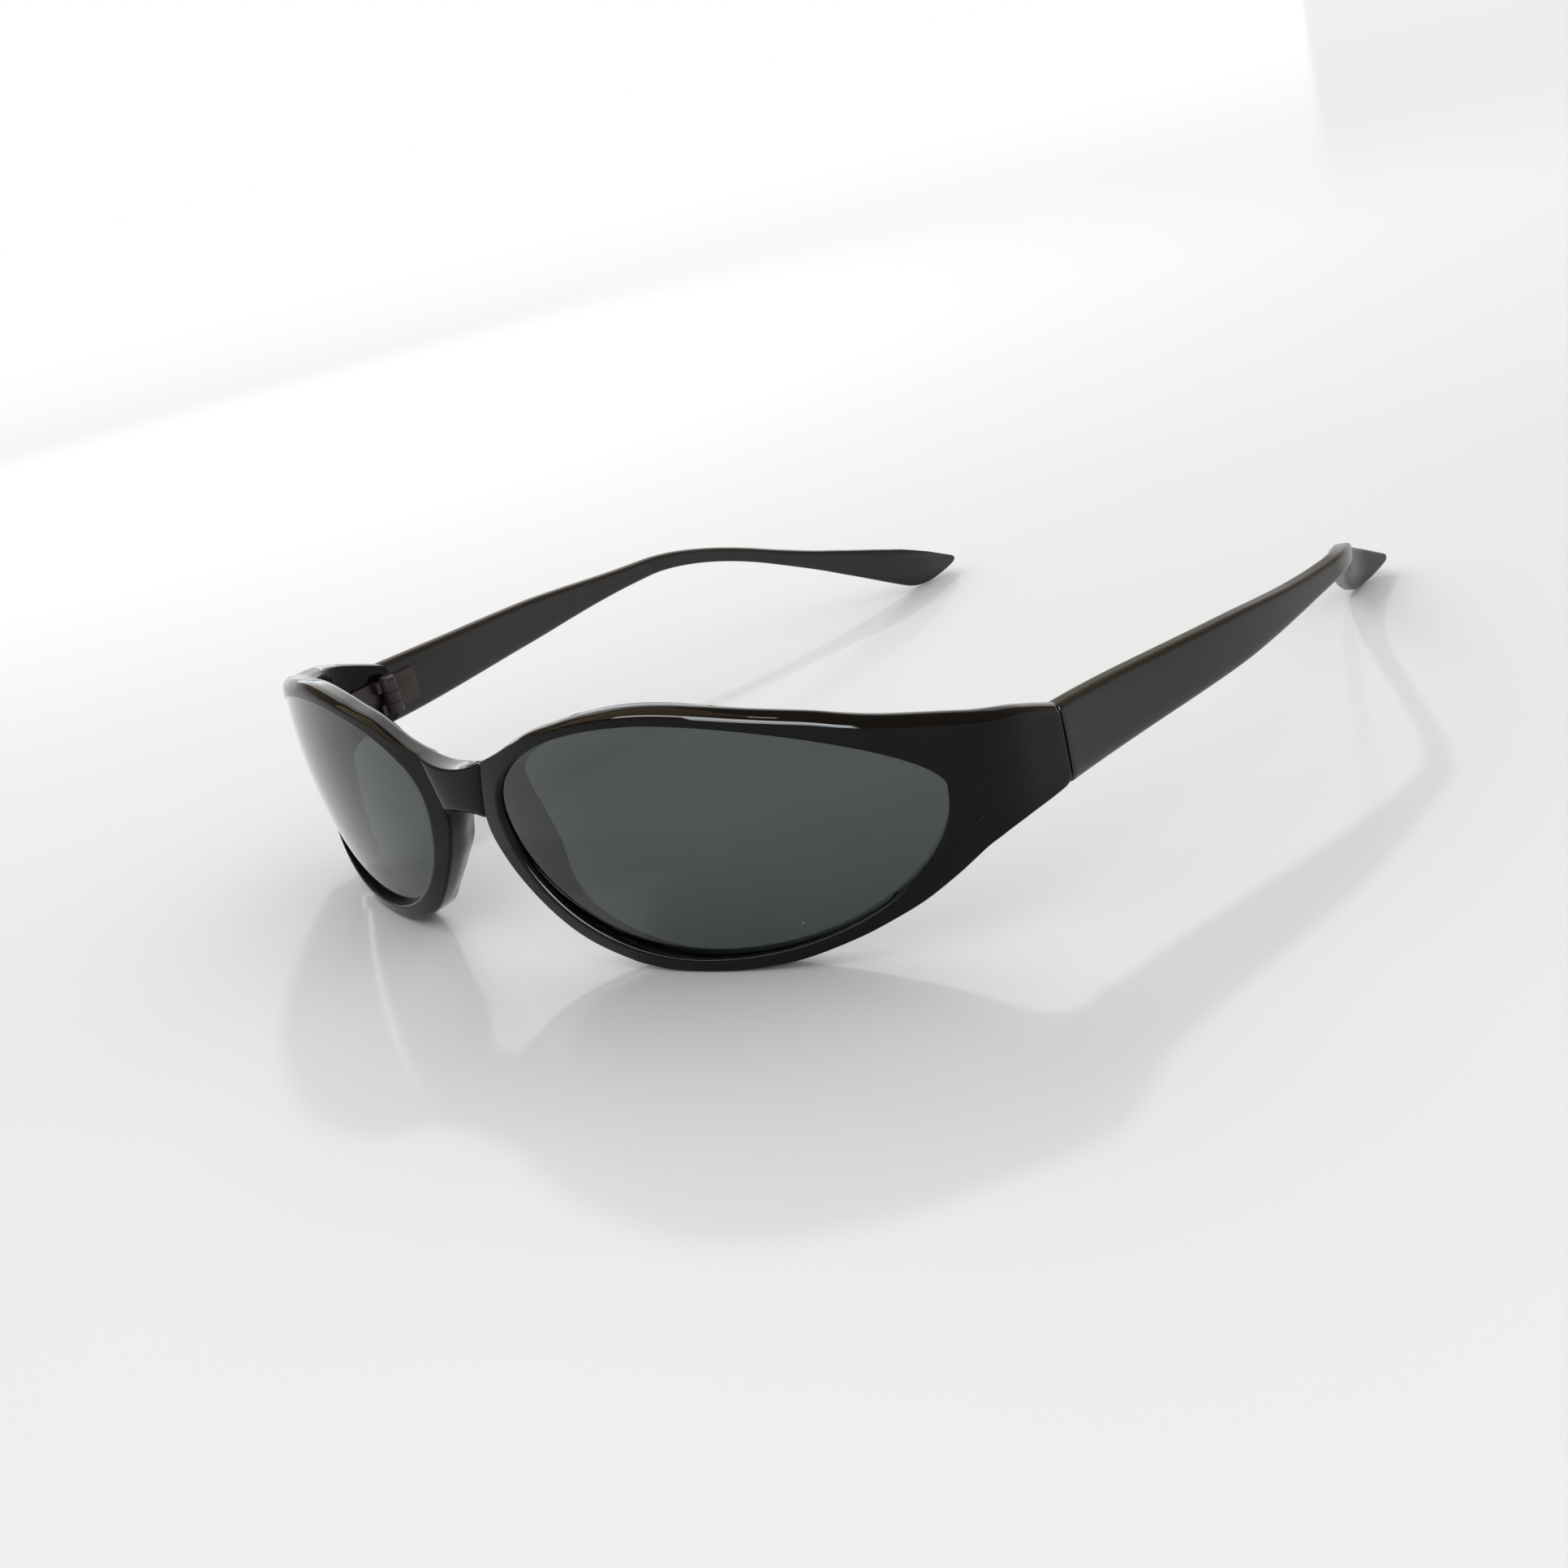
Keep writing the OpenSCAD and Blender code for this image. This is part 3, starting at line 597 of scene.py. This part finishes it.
def plainCopy(obj, name):
    # the evaluated shape as an ordinary mesh
    bpy.context.view_layer.update()
    deps = bpy.context.evaluated_depsgraph_get()
    shown = obj.evaluated_get(deps)
    mesh = bpy.data.meshes.new_from_object(shown, preserve_all_data_layers=True, depsgraph=deps)
    mesh.name = name
    return mesh


def buildTemple(name, side, finish, tree, sockets):
    holder = bpy.data.objects.new(name, bpy.data.meshes.new(name + "Start"))
    bpy.context.scene.collection.objects.link(holder)
    sweep = holder.modifiers.new("templeSweep", "NODES")
    sweep.node_group = tree
    values = {label: temple[key] for label, key in templeInputs.items()}
    values.update({"Seam Plane": seamPlane, "Rings": temple["rings"], "Round": temple["around"] + 1,
                   "Finish": finish})
    for label, value in values.items():
        sweep[sockets[label].identifier] = value
    mesh = plainCopy(holder, name)
    holder.modifiers.clear()
    cleanMesh(mesh, temple["weld"], temple["sharp"], side)
    holder.data = mesh
    return holder


# Finishes
def newMaterial(name):
    mat = bpy.data.materials.new(name)
    mat.use_nodes = True
    tree = mat.node_tree
    return mat, tree, tree.nodes["Principled BSDF"]


def joinAll(tree, pairs):
    for a, b in pairs:
        tree.links.new(a, b)


def shaderGroup(name, inputs, outputs):
    tree = bpy.data.node_groups.new(name, "ShaderNodeTree")
    for label, kind, value in inputs:
        socket = tree.interface.new_socket(name=label, in_out="INPUT", socket_type=kind)
        if value is not None:
            socket.default_value = value
    for label in outputs:
        tree.interface.new_socket(name=label, in_out="OUTPUT", socket_type="NodeSocketFloat")
    return tree, tree.nodes.new("NodeGroupInput"), tree.nodes.new("NodeGroupOutput")


def noiseNode(tree, vector, scale, detail=2.0, rough=0.5):
    node = tree.nodes.new("ShaderNodeTexNoise")
    node.inputs["Scale"].default_value = scale
    node.inputs["Detail"].default_value = detail
    node.inputs["Roughness"].default_value = rough
    tree.links.new(vector, node.inputs["Vector"])
    return node.outputs["Fac"]


# scales are per metre, and each noise is a scale, its detail and its roughness
marks = dict(speckScale=330,
             scratchTurns=((0.5, 0.0), (-0.35, 3.1), (1.2, 7.7)), scratchTilt=0.4,
             scratchStretch=(70, 2200, 2200), scratchCut=(0.735, 0.77),
             patch=(60, 3, 0.5), patchCut=(0.52, 0.7), polish=(38, 4, 0.6), polishCut=(0.35, 0.75),
             grain=(150, 2, 0.5))


def dustGroup():
    # small pale specks: Amount is the share of the cells that have one
    tree, source, sink = shaderGroup(
        "settledDust", [("Vector", "NodeSocketVector", None), ("Amount", "NodeSocketFloat", 0.5),
                        ("Speck Size", "NodeSocketFloat", 0.1)], ["Specks"])
    cells = tree.nodes.new("ShaderNodeTexVoronoi")
    cells.inputs["Scale"].default_value = marks["speckScale"]
    tree.links.new(source.outputs["Vector"], cells.inputs["Vector"])
    near = mathNode(tree, "LESS_THAN", cells.outputs["Distance"], source.outputs["Speck Size"])
    parts = tree.nodes.new("ShaderNodeSeparateColor")
    tree.links.new(cells.outputs["Color"], parts.inputs[0])
    chosen = mathNode(tree, "LESS_THAN", parts.outputs[0], source.outputs["Amount"])
    tree.links.new(mathNode(tree, "MULTIPLY", near, chosen), sink.inputs["Specks"])
    return tree


def scuffGroup():
    # hairline scratches along three directions, in patches, and a wiped, uneven polish
    tree, source, sink = shaderGroup(
        "scuffsAndPolish", [("Vector", "NodeSocketVector", None), ("Scale", "NodeSocketFloat", 1.0),
                            ("Coverage", "NodeSocketFloat", 0.5)], ["Scuffs", "Polish", "Height"])
    sized = tree.nodes.new("ShaderNodeVectorMath")
    sized.operation = "SCALE"
    joinAll(tree, [(source.outputs["Vector"], sized.inputs[0]),
                   (source.outputs["Scale"], sized.inputs["Scale"])])
    lines = None
    for turn, shift in marks["scratchTurns"]:
        turned = tree.nodes.new("ShaderNodeMapping")
        turned.inputs["Rotation"].default_value = (turn, marks["scratchTilt"] * turn, turn)
        turned.inputs["Location"].default_value = (shift, shift, 0)
        turned.inputs["Scale"].default_value = marks["scratchStretch"]
        tree.links.new(sized.outputs[0], turned.inputs["Vector"])
        line = rampNode(tree, noiseNode(tree, turned.outputs[0], 1.0, 1.0), *marks["scratchCut"])
        lines = line if lines is None else mathNode(tree, "MAXIMUM", lines, line)
    patch = rampNode(tree, noiseNode(tree, sized.outputs[0], *marks["patch"]), *marks["patchCut"])
    scuffs = mathNode(tree, "MULTIPLY", mathNode(tree, "MULTIPLY", lines, patch), source.outputs["Coverage"])
    polish = rampNode(tree, noiseNode(tree, sized.outputs[0], *marks["polish"]), *marks["polishCut"])
    joinAll(tree, [(scuffs, sink.inputs["Scuffs"]), (polish, sink.inputs["Polish"]),
                   (noiseNode(tree, sized.outputs[0], *marks["grain"]), sink.inputs["Height"])])
    return tree


groups = dict(dust=dustGroup(), scuffs=scuffGroup())


def placeGroup(tree, key, values):
    # on the piece's own Object coordinates
    node = tree.nodes.new("ShaderNodeGroup")
    node.node_tree = groups[key]
    tree.links.new(tree.nodes.new("ShaderNodeTexCoord").outputs["Object"], node.inputs["Vector"])
    for label, value in values.items():
        node.inputs[label].default_value = value
    return node


def mixColor(tree, mask, a, b):
    node = tree.nodes.new("ShaderNodeMix")
    node.data_type = "RGBA"
    # the node's sockets 6 and 7 take the two colours, output 2 gives their mix
    for slot, value in ((6, a), (7, b)):
        feed(tree, node.inputs[slot], value if isinstance(value, bpy.types.NodeSocket) else (*value, 1))
    tree.links.new(mask, node.inputs[0])
    return node.outputs[2]


def addBump(tree, bsdf, height, look):
    bump = tree.nodes.new("ShaderNodeBump")
    bump.inputs["Strength"].default_value = look["bump"]
    bump.inputs["Distance"].default_value = look["bumpDepth"]
    joinAll(tree, [(height, bump.inputs["Height"]), (bump.outputs[0], bsdf.inputs["Normal"])])


def plasticFinish(name, look):
    mat, tree, bsdf = newMaterial(name)
    dust = placeGroup(tree, "dust", {"Amount": look["dust"], "Speck Size": look["speckSize"]})
    scuffs = placeGroup(tree, "scuffs", {"Scale": look["scuffScale"], "Coverage": look["scuffs"]})
    plain = mixColor(tree, scuffs.outputs["Polish"], look["color"], look["paler"])
    worn = mixColor(tree, scuffs.outputs["Scuffs"], plain, look["scuffColor"])
    dusty = mixColor(tree, dust.outputs["Specks"], worn, look["dustColor"])
    rough = mathNode(tree, "MULTIPLY_ADD", scuffs.outputs["Polish"], look["roughVary"], look["rough"])
    rough = mathNode(tree, "MULTIPLY_ADD", scuffs.outputs["Scuffs"], look["scuffRough"], rough)
    rough = mathNode(tree, "MULTIPLY_ADD", dust.outputs["Specks"], look["dustRough"], rough)
    joinAll(tree, [(dusty, bsdf.inputs["Base Color"]), (rough, bsdf.inputs["Roughness"])])
    addBump(tree, bsdf, scuffs.outputs["Height"], look)
    bsdf.inputs["Specular IOR Level"].default_value = look["specular"]
    bsdf.inputs["IOR"].default_value = look["ior"]
    return mat


def lensFinish(name, look):
    mat, tree, bsdf = newMaterial(name)
    dust = placeGroup(tree, "dust", {"Amount": look["dust"], "Speck Size": look["speckSize"]})
    scuffs = placeGroup(tree, "scuffs", {"Scale": look["scuffScale"], "Coverage": look["scuffs"]})
    tint = mixColor(tree, scuffs.outputs["Polish"], look["tint"], look["darker"])
    dusty = mixColor(tree, dust.outputs["Specks"], tint, look["dustColor"])
    rough = mathNode(tree, "MULTIPLY", scuffs.outputs["Polish"], look["roughVary"])
    joinAll(tree, [(dusty, bsdf.inputs["Base Color"]), (rough, bsdf.inputs["Roughness"])])
    bsdf.inputs["Transmission Weight"].default_value = 1.0
    bsdf.inputs["IOR"].default_value = look["ior"]
    bsdf.inputs["Coat Weight"].default_value = 1.0
    bsdf.inputs["Coat IOR"].default_value = look["coatIor"]
    bsdf.inputs["Coat Roughness"].default_value = look["coatRough"]
    return mat


def metalFinish(name, look):
    mat, tree, bsdf = newMaterial(name)
    scuffs = placeGroup(tree, "scuffs", {"Scale": look["scuffScale"], "Coverage": look["scuffs"]})
    dust = placeGroup(tree, "dust", {"Amount": look["dust"], "Speck Size": look["speckSize"]})
    stained = mixColor(tree, scuffs.outputs["Polish"], look["color"], look["darker"])
    color = mixColor(tree, dust.outputs["Specks"], stained, look["dustColor"])
    rough = mathNode(tree, "MULTIPLY_ADD", scuffs.outputs["Scuffs"], look["scuffRough"], look["rough"])
    joinAll(tree, [(color, bsdf.inputs["Base Color"]), (rough, bsdf.inputs["Roughness"])])
    addBump(tree, bsdf, scuffs.outputs["Scuffs"], look)
    bsdf.inputs["Metallic"].default_value = 1.0
    return mat


framePlastic = plasticFinish("framePlastic", dict(
    color=(0.0042, 0.0034, 0.0037), paler=(0.0056, 0.0047, 0.005), specular=0.145, ior=1.5,
    rough=0.035, roughVary=0.03, bump=0.02, bumpDepth=0.0002,
    dust=0.03, speckSize=0.09, dustColor=(0.3, 0.29, 0.28), dustRough=0.5,
    scuffs=0.5, scuffScale=1.0, scuffColor=(0.05, 0.048, 0.045), scuffRough=0.3))
templePlastic = plasticFinish("templePlastic", dict(
    color=(0.0095, 0.0085, 0.0083), paler=(0.013, 0.0118, 0.0115), specular=0.42, ior=1.5,
    rough=0.24, roughVary=0.08, bump=0.06, bumpDepth=0.0002,
    dust=0.04, speckSize=0.09, dustColor=(0.25, 0.24, 0.23), dustRough=0.5,
    scuffs=0.6, scuffScale=1.3, scuffColor=(0.06, 0.058, 0.055), scuffRough=0.2))
lensTint = lensFinish("lensTint", dict(
    tint=(0.06, 0.076, 0.072), darker=(0.052, 0.067, 0.064), ior=1.06, roughVary=0.003,
    coatIor=1.5, coatRough=0.01, dust=0.012, speckSize=0.07, dustColor=(0.5, 0.5, 0.48),
    scuffs=0.25, scuffScale=1.0))
hingeMetal = metalFinish("hingeMetal", dict(
    color=(0.075, 0.064, 0.061), darker=(0.035, 0.03, 0.029), rough=0.42, bump=0.15, bumpDepth=0.0001,
    dust=0.05, speckSize=0.1, dustColor=(0.4, 0.38, 0.35), scuffs=0.9, scuffScale=2.5, scuffRough=0.2))


def dress(obj, mat):
    obj.data.materials.clear()
    obj.data.materials.append(mat)


frontPiece = buildFront()
dress(frontPiece, framePlastic)
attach(frontPiece, "front")
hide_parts("front_frame")
print("front made,", len(frontPiece.data.polygons), "faces")
glasses = []
for name, side in (("lens_left", 1), ("lens_right", -1)):
    piece = buildLens(name + "_glass", side)
    dress(piece, lensTint)
    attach(piece, "front")
    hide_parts(name)
    glasses.append(piece)
print("lenses made")
sweepTree, sweepSockets = templeTree()
arms = []
for name, side in (("temple_left", 1), ("temple_right", -1)):
    piece = buildTemple(name + "_arm", side, templePlastic, sweepTree, sweepSockets)
    dress(piece, templePlastic)
    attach(piece, name)
    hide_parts(name)
    arms.append(piece)
print("temples made")
for name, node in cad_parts.items():
    if "hinge" in name:
        dress(node, hingeMetal)
print("hinges dressed")

# Camera
# angles in degrees, place in millimetres, focal length and image side in the photo's pixels
view = dict(azimuth=46.6, elevation=19.36, roll=-13.56, at=(207.8, -177.36, 101.39), focal=2550, image=1932,
            sensor=36, nearest=0.01)


def makeCamera():
    a, e, r = (math.radians(view[k]) for k in ("azimuth", "elevation", "roll"))
    back = np.array([math.sin(a) * math.cos(e), -math.cos(a) * math.cos(e), math.sin(e)])
    right = np.array([math.cos(a), math.sin(a), 0.0])
    up = np.cross(back, right)
    rows = np.stack([right * math.cos(r) + up * math.sin(r), -right * math.sin(r) + up * math.cos(r), back])
    data = bpy.data.cameras.new("photoCamera")
    data.sensor_width = view["sensor"]
    data.lens = view["focal"] / view["image"] * view["sensor"]
    data.clip_start = view["nearest"]
    camera = bpy.data.objects.new("photoCamera", data)
    bpy.context.scene.collection.objects.link(camera)
    matrix = Matrix([list(c) for c in rows.T]).to_4x4()
    matrix.translation = place(view["at"])
    camera.matrix_world = matrix
    bpy.context.scene.camera = camera


makeCamera()

# Floor and light
# places and sizes in metres
# a lamp's radiance is what a mirror would see of it, and the pieces in spared don't mirror it
studio = dict(
    floorColor=(0.795, 0.80, 0.805), floorRough=0.13, floorSpecular=0.2, floorHalf=8.0,
    skyColor=(0.98, 0.99, 1.0), sky=0.92, backdrop=(1.0, 1.0, 1.0),
    roomPale=(0.85, 0.86, 0.88), roomColor=(0.42, 0.32, 0.2), paleTo=0.12, brownFrom=0.3,
    lampAim=(0, 0, 0.02),
    lamps=dict(
        window=dict(at=(-0.75, 1.0, 0.85), size=(2.4, 1.5), radiance=2.4, color=(0.93, 0.97, 1.0),
                    spared=("floor", "arms")),
        sun=dict(toward=(-1.41, 1.41, 1.17), strength=0.75, spread=0.05),
        farWindow=dict(at=(-9.2, 6.2, 0.5), size=(11.5, 1.1), radiance=0.3, color=(1.0, 1.0, 1.0)),
        behindCamera=dict(at=(0.4, -1.2, 0.6), size=(0.9, 0.5), radiance=24, color=(0.85, 0.93, 1.0),
                          spared=("floor", "glasses")),
        leftGlow=dict(at=(-0.55, 0.25, 0.35), size=(0.4, 0.4), radiance=3.0, color=(0.95, 0.98, 1.0),
                      mirrored=False),
        tube=dict(at=(0.1, -0.95, 0.68), size=(1.25, 0.26), radiance=20, color=(1.0, 0.99, 0.97),
                  spared=("floor", "glasses")),
        warmCeiling=dict(at=(-0.5, -0.55, 1.0), size=(1.1, 1.1), radiance=1.4, color=(1.0, 0.78, 0.45),
                         spared=("floor",)),
        ceilingLamp=dict(at=(0.15, -0.47, 0.97), size=(0.09, 0.05), radiance=40, color=(0.95, 0.98, 1.0),
                         spared=("floor", "glasses"))))


def makeWorld():
    world = bpy.data.worlds.new("studio")
    bpy.context.scene.world = world
    world.use_nodes = True
    tree = world.node_tree
    plain = tree.nodes["Background"]
    plain.inputs[0].default_value = (*studio["skyColor"], 1)
    plain.inputs[1].default_value = studio["sky"]
    # mirror-like surfaces see a brown room above a pale horizon, the camera a pale backdrop
    room = tree.nodes.new("ShaderNodeBackground")
    parts = tree.nodes.new("ShaderNodeSeparateXYZ")
    tree.links.new(tree.nodes.new("ShaderNodeTexCoord").outputs["Generated"], parts.inputs[0])
    mask = rampNode(tree, parts.outputs[2], studio["paleTo"], studio["brownFrom"])
    tree.links.new(mixColor(tree, mask, studio["roomPale"], studio["roomColor"]), room.inputs[0])
    backdrop = tree.nodes.new("ShaderNodeBackground")
    backdrop.inputs[0].default_value = (*studio["backdrop"], 1)
    rays = tree.nodes.new("ShaderNodeLightPath")
    seen = tree.nodes.new("ShaderNodeMixShader")
    mirrored = tree.nodes.new("ShaderNodeMixShader")
    joinAll(tree, [
        (rays.outputs["Is Glossy Ray"], mirrored.inputs[0]), (plain.outputs[0], mirrored.inputs[1]),
        (room.outputs[0], mirrored.inputs[2]), (rays.outputs["Is Camera Ray"], seen.inputs[0]),
        (mirrored.outputs[0], seen.inputs[1]), (backdrop.outputs[0], seen.inputs[2]),
        (seen.outputs[0], tree.nodes["World Output"].inputs[0])])


def areaLamp(name, at, size, radiance, color, spared=(), mirrored=True):
    # a mirrored lamp only shines in reflections, the other kind only lights surfaces softly
    lamp = bpy.data.lights.new(name, "AREA")
    lamp.shape = "RECTANGLE"
    lamp.size, lamp.size_y = size
    lamp.energy = radiance * math.pi * size[0] * size[1]
    lamp.color = color
    obj = bpy.data.objects.new(name, lamp)
    obj.location = at
    obj.rotation_euler = (Vector(studio["lampAim"]) - obj.location).to_track_quat("-Z", "Y").to_euler()
    obj.visible_camera = False
    obj.visible_diffuse = not mirrored
    obj.visible_glossy = mirrored
    obj.visible_transmission = False
    bpy.context.scene.collection.objects.link(obj)
    if spared:
        kept = bpy.data.collections.new(name + "Spares")
        for piece in spared:
            kept.objects.link(piece)
        for entry in kept.collection_objects:
            entry.light_linking.link_state = "EXCLUDE"
        obj.light_linking.receiver_collection = kept


def sunLamp(name, toward, strength, spread):
    # even light that throws the shadow
    lamp = bpy.data.lights.new(name, "SUN")
    lamp.energy = strength
    lamp.angle = spread
    obj = bpy.data.objects.new(name, lamp)
    obj.rotation_euler = (-Vector(toward)).to_track_quat("-Z", "Y").to_euler()
    obj.visible_glossy = False
    obj.visible_transmission = False
    bpy.context.scene.collection.objects.link(obj)


def makeFloor():
    mesh = bpy.data.meshes.new("floor")
    h = studio["floorHalf"]
    mesh.from_pydata([(-h, -h, 0), (h, -h, 0), (h, h, 0), (-h, h, 0)], [], [(0, 1, 2, 3)])
    floor = bpy.data.objects.new("floor", mesh)
    bpy.context.scene.collection.objects.link(floor)
    mat, tree, bsdf = newMaterial("floorWhite")
    bsdf.inputs["Base Color"].default_value = (*studio["floorColor"], 1)
    bsdf.inputs["Roughness"].default_value = studio["floorRough"]
    bsdf.inputs["Specular IOR Level"].default_value = studio["floorSpecular"]
    dress(floor, mat)
    return floor


def makeLamps(pieces):
    for name, values in studio["lamps"].items():
        if "toward" in values:
            sunLamp(name, **values)
        else:
            spared = [piece for key in values.get("spared", ()) for piece in pieces[key]]
            areaLamp(name, **{**values, "spared": spared})


floor = makeFloor()
makeWorld()
makeLamps(dict(floor=[floor], glasses=glasses, arms=arms))
bpy.context.scene.view_settings.view_transform = "Standard"
# bright rings that glossy plastic throws on the floor only add noise
bpy.context.scene.cycles.caustics_reflective = False
bpy.context.scene.cycles.caustics_refractive = False
print("studio made")
